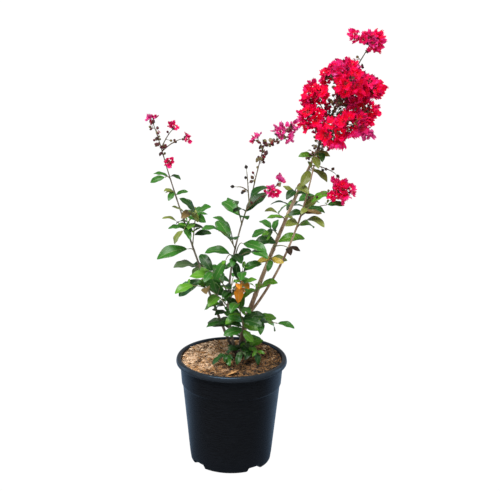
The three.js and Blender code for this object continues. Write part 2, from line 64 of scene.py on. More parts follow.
# name: foot, tip, bow, radii at foot and tip, flare, bark
LIMBS = {
    "trunk": ((24, 30, GROUND), (40, 22, 364), (-6, 0, 0), (7.5, 5.6), 5, "bark_tan"),
    "bough_right": ((40, 22, 364), (190, 20, 758), (-4, 9, 1), (5.6, 2.8), 0, "bark_tan"),
    "bough_outer": ((36, 23, 352), (180, -12, 727), (17, -15, -14), (3.4, 1.6), 0.6, "bark_tan"),
    "stem_left": ((7, 41, GROUND), (-160, 70, 714), (2, 5, -30), (3.6, 1.3), 1.6, "bark_grey"),
    "stem_middle": ((14, 20, GROUND), (44, -45, 674), (-36, -2, -20), (3.6, 1.4), 1.6, "bark_grey"),
    "panicle_axis": ((190, 20, 758), (299, 10, 1000), (-9, 5, -3), (2.4, 1), 0.4, "bark_green"),
}
TRUNK, RIGHT, OUTER, LEFT, MIDDLE, AXIS = LIMBS

# name, parent, how far along that, tip, rise of its arch, leaf length, leaves, turn of the first
# pair in degrees, tints
LEAF_SHOOTS = (
    ("left_paddle", LEFT, 0.6, (-103, 56, 504), 2, 98, 1, 0, "mid"),
    ("left_low_back", LEFT, 0.5, (-50, 112, 436), 6, 46, 5, 0),
    ("left_under", "left_low_back", 0.12, (-86, 52, 464), 2, 70, 1, 0, "grey"),
    ("left_low_drop", "left_low_back", 0.12, (-71, 48, 433), 4, 64, 2, 0, "deep mid"),
    ("left_inner", "left_low_back", 0.12, (-65, 46, 461), 2, 54, 1, 0, "bright"),
    ("left_fan", LEFT, 0.62, (-85, 22, 600), 8, 50, 6, 30),
    ("left_mid_out", LEFT, 0.66, (-130, 50, 571), 6, 40, 3, 0, "olive mid"),
    ("left_drop", "left_mid_out", 0.25, (-113, 30, 558), 8, 54, 4, 0, "mid grey olive"),
    ("left_mid_back", LEFT, 0.7, (-96, 112, 575), 6, 46, 6, 20),
    ("left_curl", LEFT, 0.74, (-100, 35, 600), 8, 44, 4, 30, "olive mid bronze"),
    ("left_high", LEFT, 0.84, (-138, 52, 643), 4, 40, 4, 0, "olive mid"),
    ("left_tiny", LEFT, 0.92, (-157, 55, 677), 4, 32, 3, 0),
    ("middle_sweep_left", MIDDLE, 0.36, (-88, -25, 442), 14, 64, 6, 0, "mid bright mid bronze"),
    ("middle_low_left", MIDDLE, 0.27, (-26, 14, 384), 12, 56, 5, 0, "bright deep"),
    ("middle_inner_left", MIDDLE, 0.44, (-45, -40, 480), 8, 58, 6, 20),
    ("middle_left", MIDDLE, 0.66, (-14, -50, 516), 9, 54, 3, 0),
    ("middle_high_left", MIDDLE, 0.71, (-31, -48, 582), 10, 62, 3, 0),
    ("middle_arch_left", "middle_high_left", 0.12, (-4, -45, 581), 2, 66, 1, 0),
    ("middle_right", MIDDLE, 0.63, (40, -62, 538), 6, 56, 3, 0),
    ("middle_twig_right", "middle_right", 0.12, (22, -43, 552), 14, 64, 1, 90),
    ("middle_top_left", MIDDLE, 0.84, (9, -58, 644), 4, 60, 3, 20),
    ("middle_top", MIDDLE, 0.87, (38, -56, 656), 2, 60, 3, 0, "deep"),
    ("middle_heart", MIDDLE, 0.38, (24, -58, 489), 8, 52, 6, 0, "deep orange deep orange mid mid"),
    ("middle_back", MIDDLE, 0.34, (0, 95, 420), 10, 54, 7, 0),
    ("right_low", RIGHT, 0.1, (68, -5, 441), 3, 50, 4, 0, "bright bright olive"),
    ("right_gold", RIGHT, 0.3, (90, -5, 500), 5, 38, 6, 0, "gold mid gold olive mid"),
    ("right_inner", RIGHT, 0.46, (80, 30, 560), 8, 52, 5, 0),
    ("right_notch", RIGHT, 0.56, (106, 18, 601), 2, 42, 3, 150, "olive bright olive"),
    ("right_outer", OUTER, 0.64, (161, -22, 598), 2, 66, 3, 30, "olive bright olive"),
    ("right_mid", RIGHT, 0.38, (101, 8, 537), 2, 72, 2, 0, "deep bright"),
    ("right_dead", "right_mid", 0.3, (126, -30, 539), 4, 34, 2, 0, "dead"),
    ("right_back", RIGHT, 0.6, (150, 100, 610), 8, 52, 6, 0),
    ("right_high", RIGHT, 0.68, (142, 5, 670), 5, 44, 5, 30, "olive mid bronze deep"),
    ("right_wing", OUTER, 0.7, (175, -25, 643), 4, 60, 3, 0, "bronze olive bright"),
    ("right_crook", "right_wing", 0.12, (166, -48, 637), 4, 44, 4, 0, "deep bronze olive"),
    ("right_far", "right_wing", 0.15, (210, -30, 641), 5, 50, 1, 0),
    ("right_top_left", RIGHT, 0.85, (173, 8, 711), 5, 50, 2, 150, "olive olive mid"),
    ("right_crown", RIGHT, 0.94, (178, 0, 745), 5, 44, 3, 150, "olive bright"),
    ("right_crown_drop", "right_crown", 0.2, (193, -12, 758), 5, 50, 1, 0, "deep olive"),
    ("low_right", TRUNK, 0.75, (105, 0, 343), 4, 56, 5, 30, "mid bright deep bright"),
    ("low_left", MIDDLE, 0.16, (-15, 5, 338), 8, 46, 5, 0, "grey mid deep"),
    ("low_heart", TRUNK, 0.5, (25, -48, 365), 6, 52, 6, 0),
    ("low_upper", "low_heart", 0.4, (14, -40, 404), 4, 52, 8, 0, "mid deep mid bright mid deep mid orange"),
    ("low_middle", "middle_heart", 0.1, (18, -58, 457), 6, 42, 4, 0, "mid orange orange bright"),
    ("low_core", "low_right", 0.2, (26, -30, 338), 6, 44, 4, 0),
    ("foot_left", TRUNK, 0.1, (-10, -25, 272), 8, 44, 4, 0, "deep mid"),
    ("foot_front", "foot_left", 0.15, (22, -32, 282), 6, 38, 3, 0, "deep grey"),
    ("foot_right", TRUNK, 0.2, (54, -10, 276), 8, 36, 5, 0, "deep bright"),
    ("foot_back", TRUNK, 0.24, (35, 90, 272), 8, 44, 5, 0),
)

# name, parent, how far along that, tip, rise, flower width, flowers, buds, pods, tints
FLOWER_SPRAYS = (
    ("bloom_tip", AXIS, 0.97, (299, 10, 1002), 2, 30, 10, 0, 1, "crimson scarlet crimson rose"),
    ("bloom_tip_left", "bloom_tip", 0.3, (272, 0, 1016), 4, 26, 3, 0, 0, "crimson"),
    ("bloom_high_left", AXIS, 0.52, (212, 26, 926), 6, 32, 5, 1, 0, "scarlet crimson"),
    ("bloom_high", AXIS, 0.68, (250, -18, 938), 6, 34, 8, 0, 0, "crimson crimson rose scarlet"),
    ("bloom_right", AXIS, 0.5, (297, 0, 908), 6, 37, 9, 0, 0),
    ("bloom_front", AXIS, 0.42, (252, -56, 930), 6, 36, 5, 2, 0, "scarlet"),
    ("bloom_left", AXIS, 0.26, (178, 8, 878), 8, 37, 11, 0, 0),
    ("bloom_low_left", AXIS, 0.12, (168, -18, 842), 8, 34, 8, 2, 0),
    ("bloom_low_right", AXIS, 0.2, (288, -18, 851), 6, 38, 10, 0, 0, "scarlet crimson scarlet"),
    ("bloom_pink", "bloom_low_right", 0.5, (288, -30, 816), 4, 28, 2, 1, 0, "rose"),
    ("bloom_low", AXIS, 0.06, (226, -50, 812), 8, 37, 10, 1, 0, "scarlet scarlet crimson"),
    ("bloom_mid", "bloom_low", 0.3, (262, -68, 838), 6, 35, 5, 1, 0),
    # The back of the panicle takes the wine tint, painted shade.
    ("bloom_back", AXIS, 0.3, (268, 78, 872), 8, 36, 7, 1, 0, "wine crimson wine"),
    ("bloom_back_high", "bloom_back", 0.4, (257, 80, 924), 8, 34, 5, 1, 0, "crimson wine"),
    ("spray_left", LEFT, 0.985, (-184, 60, 800), 4, 27, 1, 4, 0, "rose wine"),
    ("spray_left_side", "spray_left", 0.35, (-142, 52, 788), 4, 27, 1, 2, 0, "crimson wine"),
    ("spray_left_out", "spray_left", 0.28, (-121, 52, 768), 4, 26, 1, 2, 0, "crimson wine"),
    ("spray_left_low", "spray_left", 0.08, (-152, 60, 716), 1, 26, 1, 1, 0, "crimson wine"),
    ("spray_side", OUTER, 0.8, (246, -45, 679), 6, 29, 9, 1, 0, "crimson scarlet crimson"),
    ("spray_middle", MIDDLE, 0.91, (95, -74, 696), 4, 28, 3, 1, 0, "rose crimson"),
    ("spray_spent", MIDDLE, 0.99, (68, -55, 785), 4, 22, 0, 4, 3),
    ("spray_spent_tip", "spray_spent", 0.85, (60, -60, 788), 2, 24, 1, 1, 0, "rose wine"),
    ("spray_spent_side", "spray_spent", 1, (120, -60, 822), -8, 30, 5, 1, 0, "rose"),
    ("seed_head_middle", MIDDLE, 0.95, (30, -52, 722), 4, 20, 0, 0, 4),
    ("seed_head_middle_left", "seed_head_middle", 0.3, (9, -60, 689), 4, 20, 0, 0, 2),
    ("seed_head_right", RIGHT, 0.9, (228, 10, 705), 4, 20, 0, 0, 5),
)

BUD_RADIUS = 3
POD_RADIUS = 4
CUP_RADII = (2.6, 4.6)

# How leaves sit and bend. Two numbers are the least and the most that a draw picks.
LEAF = Record(
    first_pair=0.32,  # how far up the twig
    lowest=0.1,
    stagger=0.06,  # how much lower the second of a pair stands
    stray=0.7,  # round the twig, in radians
    turn_stray=0.8,
    steep_from=0.75,  # the sine of a twig's slope from where its pairs stand crosswise
    spread_alone=(4, 24),  # off the twig's heading, in degrees
    spread_last=(26, 54),
    spread_pair=(42, 74),
    rise=0.35,  # how much it starts off towards the light
    lean_along=0.3,  # how much its face leans towards the twig's tip
    roll=1,
    length=(0.74, 1.22),  # as shares of the shoot's leaf length
    width=(0.36, 0.45),  # as shares of the leaf's length
    droop=(0.7, 1.6),  # in radians from root to tip
)

# How flowers, buds and pods sit on their spray, in the same way.
HEAD = Record(
    spread_last=(8, 33),
    spread_side=(45, 80),
    stalk=(0.75, 1.25),  # as shares of the flower width times the spray's reach
    radius=(0.42, 0.58),  # as shares of the flower width
    flower=(0.62, 0.55),  # how far up they start, and their stalk's reach
    bud=(0.3, 0.5),
    pod=(0.2, 0.5),
    small_bud=(0.08, 0.4),
    small_width=0.62,  # as a share of the flower width
)

# ---- tints

# The tints dealt out in turn where a row has none.
COMMON_LEAVES = "mid deep mid bright"
COMMON_PETALS = "scarlet crimson scarlet scarlet wine"

# The shoots close to the soil with a side shoot in every axil, and its tint. Elsewhere a few axils
# have one, in the shoot's own tint if that is warm.
BUSHY_FEET = {"foot_left": "deep", "foot_front": "grey", "foot_right": "bright", "foot_back": "mid"}
WARM_TINTS = ("olive", "bronze", "gold")
AXIL_CHANCE = 0.12

# Upper side, underside and rib of a leaf of each tint, as linear colours.
LEAF_TINTS = {
    "deep": ((0.015, 0.07, 0.009), (0.09, 0.15, 0.07), (0.09, 0.16, 0.05)),
    "mid": ((0.034, 0.16, 0.015), (0.12, 0.2, 0.085), (0.14, 0.26, 0.07)),
    "bright": ((0.1, 0.29, 0.018), (0.16, 0.28, 0.08), (0.24, 0.4, 0.08)),
    "grey": ((0.075, 0.13, 0.05), (0.13, 0.15, 0.11), (0.15, 0.18, 0.1)),
    "olive": ((0.19, 0.235, 0.04), (0.2, 0.23, 0.1), (0.28, 0.3, 0.12)),
    "bronze": ((0.2, 0.13, 0.045), (0.2, 0.16, 0.09), (0.3, 0.2, 0.1)),
    "gold": ((0.55, 0.4, 0.05), (0.5, 0.4, 0.1), (0.6, 0.5, 0.15)),
    "orange": ((0.8, 0.27, 0.015), (0.6, 0.25, 0.05), (0.8, 0.4, 0.08)),
    "dead": ((0.03, 0.016, 0.01), (0.06, 0.035, 0.02), (0.07, 0.045, 0.03)),
}

LEAF_ROUGHNESS = {"upper": 0.33, "under": 0.6, "rib": 0.45}

# Blade and frilled edge of a petal of each tint. Wine is a darker copy of the reds: a deeper bloom colour,
# and painted shade at the back and in the heart of the panicle.
PETAL_TINTS = {
    "scarlet": ((0.95, 0.001, 0.036), (0.94, 0.004, 0.1)),
    "crimson": ((0.88, 0.004, 0.1), (0.88, 0.025, 0.22)),
    "wine": ((0.4, 0.001, 0.03), (0.54, 0.006, 0.1)),
    "rose": ((0.6, 0.012, 0.16), (0.72, 0.08, 0.3)),
}

# Name, colour and roughness of the plain skins, in the order of their slots.
SMALL_SKINS = {
    "calyces": (
        ("calyx_red", (0.2, 0.02, 0.03), 0.5),
        ("calyx_dark", (0.1, 0.025, 0.025), 0.5),
        ("calyx_olive", (0.22, 0.17, 0.07), 0.5),
    ),
    "buds": (
        ("bud_maroon", (0.13, 0.015, 0.022), 0.4),
        ("bud_dark", (0.08, 0.01, 0.018), 0.4),
        ("bud_green", (0.22, 0.18, 0.06), 0.45),
    ),
    "seed_pods": (("pod_brown", (0.1, 0.05, 0.025), 0.7), ("pod_black", (0.02, 0.013, 0.01), 0.7)),
    "stamens": (("filament", (0.5, 0.04, 0.1), 0.5), ("anther", (0.6, 0.28, 0.04), 0.6)),
}

# ---- vectors, draws and arcs

UP = np.array((0.0, 0.0, 1.0))
LIGHT = np.array((0.0, -0.3, 0.95))  # what the upper faces of the leaves turn to
FULL_TURN = 2 * pi
GOLDEN_ANGLE = FULL_TURN * 0.381966


def unit(vector):
    return vector / sqrt(float(vector @ vector))


def mix(low, high, t):
    return low + (high - low) * t


def smooth_step(low, high, value):
    t = min(max((value - low) / (high - low), 0), 1)
    return t * t * (3 - 2 * t)


def on_circle(side, top, angle):
    """The direction at an angle from side towards top."""
    return side * cos(angle) + top * sin(angle)


def even_angles(count):
    return FULL_TURN * np.arange(count) / count


def spokes(side, top, count):
    """Directions at even angles, from side towards top."""
    angles = even_angles(count)
    return np.outer(np.cos(angles), side) + np.outer(np.sin(angles), top)


def draw_for(name):
    """Random numbers from 0 to 1, for each name the same as in the part's source."""
    state = 1
    for letter in name:
        state = (state * 31 + ord(letter)) % 2147483646
    state += 1

    def draw():
        nonlocal state
        state = (state * 48271) % 2147483647
        return state / 2147483647

    draw()
    draw()
    return draw


class Arc:
    """An arc that stands off its chord by the bow at its middle."""

    def __init__(self, foot, tip, bow=(0, 0, 0)):
        self.foot = np.array(foot, float)
        self.chord = np.array(tip, float) - self.foot
        self.bow = np.array(bow, float)
        self.level = unit(np.cross(self.chord, UP))

    def at(self, t):
        return self.foot + self.chord * t + self.bow * (4 * t * (1 - t))

    def axes(self, t):
        """Its heading, its level right-hand side and its upper side."""
        ahead = unit(self.chord + self.bow * (4 * (1 - 2 * t)))
        side = unit(self.level - ahead * (self.level @ ahead))
        return ahead, side, np.cross(side, ahead)

    def heading(self, t):
        return self.axes(t)[0]

    def across(self, t, angle):
        """Square to the arc, at an angle from its right-hand side towards its upper side."""
        _, side, top = self.axes(t)
        return on_circle(side, top, angle)

    def ring(self, t, radii):
        """Points round the arc, one for each radius, counter-clockwise from its tip."""
        _, side, top = self.axes(t)
        return self.at(t) + spokes(side, -top, len(radii)) * np.asarray(radii)[:, None]


# ---- meshes


@cache
def grid_faces(rows, columns, closed):
    """Quads over a grid of points in rows, which a closed one wraps round."""
    faces = []
    for i in range(rows - 1):
        for k in range(columns if closed else columns - 1):
            right = (k + 1) % columns
            low, high = i * columns, (i + 1) * columns
            faces.append((low + k, low + right, high + right, high + k))
    return faces


@cache
def tube_faces(rows, columns):
    """A closed tube through rings, with a flat cap at each end."""
    last = (rows - 1) * columns
    caps = [tuple(range(columns - 1, -1, -1)), tuple(range(last, last + columns))]
    return grid_faces(rows, columns, True) + caps


def level_ring(radius, sides, heights):
    """Points round the upright axis, counter-clockwise from above."""
    return spokes((radius, 0, 0), (0, radius, 0), sides) + np.outer(np.full(sides, heights), UP)


def turned_shell(rings, *ends):
    """Points and faces through rings, closed on the upright axis at both ends' heights."""
    rows, sides = len(rings), len(rings[0])
    first, last = rows * sides, (rows - 1) * sides
    faces = grid_faces(rows, sides, True) + [(first, (k + 1) % sides, k) for k in range(sides)]
    faces += [(first + 1, last + k, last + (k + 1) % sides) for k in range(sides)]
    return np.concatenate([*rings, [(0, 0, end) for end in ends]]), faces


def flipped(faces):
    return [tuple(reversed(face)) for face in faces]


def add_object(name, data):
    thing = bpy.data.objects.new(name, data)
    bpy.context.scene.collection.objects.link(thing)
    return thing


class Pile:
    """Many small shapes of one kind, gathered into one mesh."""

    def __init__(self, name, *materials):
        self.name, self.materials = name, materials
        self.points, self.faces, self.slots, self.count = [], [], [], 0

    def add(self, points, faces, slots=0):
        self.faces += [tuple([self.count + i for i in face]) for face in faces]
        self.slots += [slots] * len(faces) if isinstance(slots, int) else slots
        self.points.append(points)
        self.count += len(points)

    def build(self, record_slot, nodes=(), sharp=60):
        """The mesh as a piece, in metres, in place of the CAD nodes named."""
        mesh = bpy.data.meshes.new(self.name)
        mesh.from_pydata((np.concatenate(self.points) * MM).tolist(), [], self.faces)
        mesh.polygons.foreach_set("material_index", self.slots)
        mesh.shade_smooth()
        mesh.set_sharp_from_angle(angle=radians(sharp))
        mesh.update()
        for material in self.materials:
            mesh.materials.append(material)
        piece = add_object(self.name, mesh)
        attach(piece, "root")
        if nodes:
            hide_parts(*nodes)


# ---- materials


def shader_of(skin):
    return skin.node_tree.nodes["Principled BSDF"].inputs


def new_material(name, colour, roughness):
    skin = bpy.data.materials.new(name)
    skin.use_nodes = True
    shader_of(skin)["Base Color"].default_value = (*colour, 1)
    shader_of(skin)["Roughness"].default_value = roughness
    return skin


def link(skin, source, name):
    skin.node_tree.links.new(source, shader_of(skin)[name])


def add_node(skin, kind, output, **values):
    """An output of a new node, whose inputs and settings are given by name."""
    node = skin.node_tree.nodes.new(f"ShaderNode{kind}")
    for name, value in values.items():
        label = name.replace("_", " ").title()
        if label not in node.inputs:
            setattr(node, name, value)
        elif isinstance(value, bpy.types.NodeSocket):
            skin.node_tree.links.new(value, node.inputs[label])
        else:
            node.inputs[label].default_value = value
    return node.outputs[output]


def own_place(skin):
    """The place in the object's own metres."""
    return add_node(skin, "TexCoord", "Object")


def own_axis(skin, axis):
    return add_node(skin, "SeparateXYZ", axis, vector=own_place(skin))


def stretched_noise(skin, scale, stretch, detail):
    """Noise squeezed along each axis by the stretch."""
    place = add_node(skin, "Mapping", "Vector", vector=own_place(skin), scale=stretch)
    return add_node(skin, "TexNoise", "Fac", vector=place, scale=scale, detail=detail)


def map_range(skin, value, span, **values):
    """A value over a span mapped to another range."""
    values |= {"value": value, "from_min": span[0], "from_max": span[1]}
    return add_node(skin, "MapRange", "Result", **values)


def colour_ramp(skin, factor, stops):
    """The colour at the factor on a ramp of (place, colour) stops."""
    ramp = add_node(skin, "ValToRGB", "Color", fac=factor)
    elements = ramp.node.color_ramp.elements
    elements.remove(elements[1])
    for i, (place, colour) in enumerate(stops):
        stop = elements.new(place) if i else elements[0]
        stop.position = place
        stop.color = (*colour, 1)
    return ramp


def paint(skin, pattern, stops):
    link(skin, colour_ramp(skin, pattern, stops), "Base Color")


def add_relief(skin, height, distance, strength):
    """Relief in the shading only, from the height of a pattern."""
    relief = add_node(skin, "Bump", "Normal", height=height, distance=distance, strength=strength)
    link(skin, relief, "Normal")


# How rough and shiny grainy skins are, and how fine and deep their grain.
LEAF_GRAIN = {"shine": 0.3, "scale": 900, "depth": 0.0002, "strength": 0.35}
PETAL_GRAIN = {"roughness": 0.6, "shine": 0.09, "scale": 500, "depth": 0.0003, "strength": 0.4}
POT_GRAIN = {"roughness": 0.3, "scale": 1400, "depth": 0.0002, "strength": 0.3}


def grainy_material(name, colour, roughness, shine, scale, depth, strength):
    """A plain tint with a fine even grain: leaf cells, a petal's crease, moulded plastic."""
    skin = new_material(name, colour, roughness)
    shader_of(skin)["Specular IOR Level"].default_value = shine
    add_relief(skin, stretched_noise(skin, scale, (1, 1, 1), 2), depth, strength)
    return skin


LOW_SHADE_HEIGHTS = (0.26, 0.35)  # in metres, between which the shade painted on the bark towards the soil ends
LOW_SHADE_FACTOR = 0.2


def painted_low_shade(skin, colour):
    """The colour, darkened towards the soil with painted shade."""
    shade = map_range(skin, own_axis(skin, "Z"), LOW_SHADE_HEIGHTS, to_min=LOW_SHADE_FACTOR, to_max=1)
    return add_node(skin, "VectorMath", "Vector", operation="SCALE", vector=colour, scale=shade)


def bark_material(name, dark, mid, light):
    """Smooth thin bark: long streaks and paler peeling patches, finely ridged."""
    skin = new_material(name, mid, 0.7)
    streaks = stretched_noise(skin, 130, (1, 1, 0.12), 6)
    colour = colour_ramp(skin, streaks, ((0.3, dark), (0.5, mid), (0.7, light)))
    # Shade is painted on near the soil.
    link(skin, painted_low_shade(skin, colour), "Base Color")
    add_relief(skin, streaks, 0.0006, 0.6)
    return skin


# Darkest, common and dusty tint, and how strongly it shines. The rim's tints are lighter and bluer than the
# body's: a painted highlight.
POT_SKINS = {
    "pot_plastic": ((0.006, 0.0063, 0.0075), (0.0088, 0.009, 0.0105), (0.025, 0.027, 0.03), 0.26),
    "pot_rim_painted_highlight": ((0.012, 0.015, 0.019), (0.018, 0.022, 0.028), (0.035, 0.04, 0.05), 0.34),
}
POT_SHEEN = (0.42, 0.68, 1, 1)


def pot_material(name):
    """Satin black plastic with a fine moulded grain, scuffs and a little dust."""
    dark, common, dusty, shine = POT_SKINS[name]
    skin = grainy_material(name, common, shine=shine, **POT_GRAIN)
    shader_of(skin)["Specular Tint"].default_value = POT_SHEEN
    scuffs = stretched_noise(skin, 60, (1, 1, 6), 8)
    paint(skin, scuffs, ((0, dark), (0.66, common), (0.85, dusty)))
    gloss = map_range(skin, scuffs, (0.3, 0.8), to_min=0.2, to_max=0.42)
    link(skin, gloss, "Roughness")
    return skin


def soil_material(name, dark, light):
    """Crumbly and matt, mottled from dark to light."""
    skin = new_material(name, light, 0.95)
    clods = stretched_noise(skin, 160, (1, 1, 1), 6)
    paint(skin, clods, ((0.35, dark), (0.65, light)))
    add_relief(skin, clods, 0.002, 0.8)
    return skin


# ---- pot

# The foot of the outline, as radius and height, which the drain notches lift.
FOOT_POINTS = [(66, 2), (71, 0.6), (74, 0), (90.5, 0), (93, 1), (94.6, 4), (95.6, 11), WALL_FOOT]


def pot_outline():
    """Radius and height, from under the middle up the outside and down the inside."""
    shares = (0.12, 0.3, 0.5, 0.7, 0.88, 1)
    wall = [tuple(mix(low, high, t) for low, high in zip(WALL_FOOT, COLLAR_FOOT)) for t in shares]
    step = [(114.8, 193.6), (116.4, 195), (117, 196.4), (117.2, 199)]
    collar = [(mix(117.2, COLLAR_RADIUS, t), mix(199, RIM_FOOT, t)) for t in (0.25, 0.5, 0.75, 1)]
    under_lip = [(121.4, 252.5), (122.6, 254.6), (126.2, 254.6), (127.3, 253.4), (127.6, 247)]
    rim = [(127.8, 246.3), (128.6, RIM_FOOT), (129.5, 246.3), (129.9, 247.2)]
    wide, high = RIM_ROUND
    for angle in np.radians((0, 10, 25, 40, 55, 70, 90)):
        across, down = wide * (1 - cos(angle)), high * (1 - sin(angle))
        rim.append((RIM_RADIUS - across, POT_HEIGHT - down))
    rim += [(121.6, POT_HEIGHT), (119.9, 257.5), (118.9, 256.2), (118.5, 254)]
    inside = [(118.4, 246), (114.6, 199), (112, 192), (95, 24), (93, 14), (0, 13)]
    return [(0, 2), *FOOT_POINTS, *wall, *step, *collar, *under_lip, *rim, *inside]


def drain_notches(sides):
    """How far the arched notches lift each side of the foot, in mm."""
    lift = np.zeros(sides)
    for k in range(DRAIN.count):
        middle = radians(DRAIN.first_angle) + FULL_TURN * k / DRAIN.count
        turn = (even_angles(sides) - middle + pi) % FULL_TURN - pi
        away = np.abs(turn) * DRAIN.radius / DRAIN.width
        lift += DRAIN.height * np.array([1 - smooth_step(0.36, 0.5, share) for share in away])
    return lift


def build_pot():
    """One turned shell, with drain notches round its foot."""
    sides = 192
    first, *outline, last = pot_outline()
    notches = drain_notches(sides)
    rings = []
    for i, (radius, height) in enumerate(outline):
        share = smooth_step(70, 80, radius) * (1 - smooth_step(2, 22, height)) if i < len(FOOT_POINTS) else 0
        rings.append(level_ring(radius, sides, height + notches * share))
    points, faces = turned_shell(rings, first[1], last[1])
    # The faces of the rim take the skin with the painted highlight.
    on_rim = [int(min(low[1], high[1]) >= RIM_FOOT) for low, high in zip(outline, outline[1:])]
    slots = [slot for slot in on_rim for _ in range(sides)] + [0] * (2 * sides)
    pot = Pile("pot_shell", pot_material("pot_plastic"), pot_material("pot_rim_painted_highlight"))
    pot.add(points, faces, slots)
    pot.build("pot", ["pot"], sharp=50)


# ---- soil

SOIL_WALL = ((116, 225), (112, 190), (93.5, 24), (92, 15))  # radius and height

# Dark and light tint of the chips, from pale to dark. The darker ones go where the mix is painted darker, so
# they carry its painted shade too.
CHIP_TINTS = {
    "straw": ((0.62, 0.38, 0.21), (0.92, 0.69, 0.48)),
    "tan": ((0.34, 0.155, 0.052), (0.56, 0.3, 0.115)),
    "brown": ((0.12, 0.05, 0.018), (0.22, 0.095, 0.034)),
    "dark": ((0.012, 0.008, 0.005), (0.04, 0.022, 0.013)),
}
CHIPS = 3600
FIBRES = 1500
FIBRE_RADIUS = 0.28
BIG_CHIP = Record(size=(36, 14, 2), turns=(0.3, -0.3, -0.35), place=(0, -80, SOIL_LEVEL + 2.5))
STRAW_FROM = 0.45  # how pale the mix is, painted shade included, where the fibres turn from tan to straw


def soil_height(x, y):
    """The uneven top of the mix, in mm."""
    spot = Vector((x, y, 0))
    rough = 2.4 * noise.noise(spot / 26) + 1.5 * noise.noise(spot / 9) + 0.8 * noise.noise(spot / 3.5)
    heap = 3 * exp(-((x - 18) ** 2 + (y - 28) ** 2) / 1800)
    edge = (2.5 + 5 * smooth_step(-20, 80, y)) * smooth_step(88, SOIL_RADIUS, hypot(x, y))
    return SOIL_LEVEL - 0.5 + rough + heap + edge - 5 * damp_shaded_hollow(x, y)


def damp_shaded_hollow(x, y):
    """1 in the middle of the hollow in front of the stems, 0 away from it. The mix dips there and is painted
    darker, as damp and as shade under the leaves.
    """
    return exp(-(((x - 20) / 17) ** 2) - ((y + 52) / 52) ** 2)


def soil_paleness_and_shade(x, y):
    """From 0, dark, at the front edge, where a shadow of the rim is painted, to 1, pale, towards the left and
    back.
    """
    spot = Vector((x, y, 40))
    mottle = 0.5 * noise.noise(spot / 22) + 0.3 * noise.noise(spot / 8)
    # A shadow of the rim, painted along the front of the mix.
    painted_rim_shadow = smooth_step(58, 96, hypot(x, y)) * smooth_step(0, 60, -y) * smooth_step(-70, -10, x)
    # The hollow is painted darker, as damp and as shade under the leaves.
    return 0.52 - 0.003 * (x - 5) + 0.0024 * y + mottle - 0.45 * painted_rim_shadow - 0.8 * damp_shaded_hollow(x, y)


def build_soil_bed():
    """The mix as one block: its top, and a wall along the inside of the pot."""
    count, sides = 60, 168
    rings = []
    for i in range(count):
        ring = level_ring(SOIL_RADIUS * (i + 1) / count, sides, 0.0)
        ring[:, 2] = [soil_height(x, y) for x, y, _ in ring]
        rings.append(ring)
    rings += [level_ring(radius, sides, height) for radius, height in SOIL_WALL]
    points, faces = turned_shell(rings, soil_height(0, 0), SOIL_WALL[-1][1])
    bed = Pile("soil_bed", soil_material("soil_mix", (0.03, 0.017, 0.01), (0.26, 0.14, 0.065)))
    bed.add(points, flipped(faces))
    bed.build("soil", ["soil"])


def chip_shape(length, width, thickness, draw):
    """A splintered chip of bark: a flat block with ragged, thinner ends."""
    corners = []
    for x, spread in ((-0.5, 0.5), (-0.2, 1), (0.25, 0.9), (0.5, 0.35)):
        for y, z in ((-0.5, -0.5), (0.5, -0.5), (0.5, 0.5), (-0.5, 0.5)):
            jog = (draw() - 0.5) * 0.3
            corners.append(((x + jog * 0.3) * length, (y + jog) * spread * width, z * spread * thickness))
    return np.array(corners)


def turned(points, heading, tilt, roll):
    """Points rolled about X, tilted about Y and turned about Z."""
    spin = Matrix.Rotation(heading, 3, "Z") @ Matrix.Rotation(tilt, 3, "Y") @ Matrix.Rotation(roll, 3, "X")
    return points @ np.array(spin).T


def strewn_place(margin, draw):
    """A place on the mix, a margin or more off its edge, and roughly how pale it is, painted shade included.
    """
    radius, angle = (SOIL_RADIUS - margin) * sqrt(draw()), FULL_TURN * draw()
    x, y = radius * cos(angle), radius * sin(angle)
    return x, y, soil_paleness_and_shade(x, y) + 0.5 * (draw() - 0.5)


def build_chips():
    """Bark chips and coir fibres strewn over the mix, in tints for how pale it is, painted shade included."""
    strewn = {}
    for tint, colours in CHIP_TINTS.items():
        strewn[tint] = Pile(f"soil_chips_{tint}", soil_material(f"chip_{tint}", *colours))
    draw = draw_for("chips")
    order = list(CHIP_TINTS)[::-1]
    for _ in range(CHIPS):
        x, y, paleness_and_shade = strewn_place(3, draw)
        tint = order[min(max(int(paleness_and_shade * len(order)), 0), len(order) - 1)]
        size = 2.2 + 8 * draw() ** 2.4
        chip = chip_shape(size, size * (0.35 + 0.3 * draw()), 0.6 + 0.9 * draw(), draw)
        chip = turned(chip, FULL_TURN * draw(), 0.5 * (draw() - 0.5), 0.8 * (draw() - 0.5))
        chip += (x, y, soil_height(x, y) + 0.5 + 0.8 * draw())
        strewn[tint].add(chip, tube_faces(4, 4))
    for _ in range(FIBRES):
        x, y, paleness_and_shade = strewn_place(5, draw)
        length, heading = 5 + 12 * draw(), FULL_TURN * draw()
        step = np.array((cos(heading), sin(heading), 0.1 * (draw() - 0.5)))
        foot = np.array((x, y, soil_height(x, y) + 1.2)) - step * length / 2
        bow = np.array((draw() - 0.5, draw() - 0.5, 0.4 * draw())) * length * 0.35
        fibre = Arc(foot, foot + step * length, bow)
        rings = [fibre.ring(t, [FIBRE_RADIUS] * 3) for t in (0, 0.35, 0.7, 1)]
        tint = "straw" if paleness_and_shade > STRAW_FROM else "tan"
        strewn[tint].add(np.concatenate(rings), tube_faces(4, 3))
    big = turned(chip_shape(*BIG_CHIP.size, draw), *BIG_CHIP.turns) + BIG_CHIP.place
    strewn["tan"].add(big, tube_faces(4, 4))
    for pile in strewn.values():
        pile.build("soil")


# ---- limbs

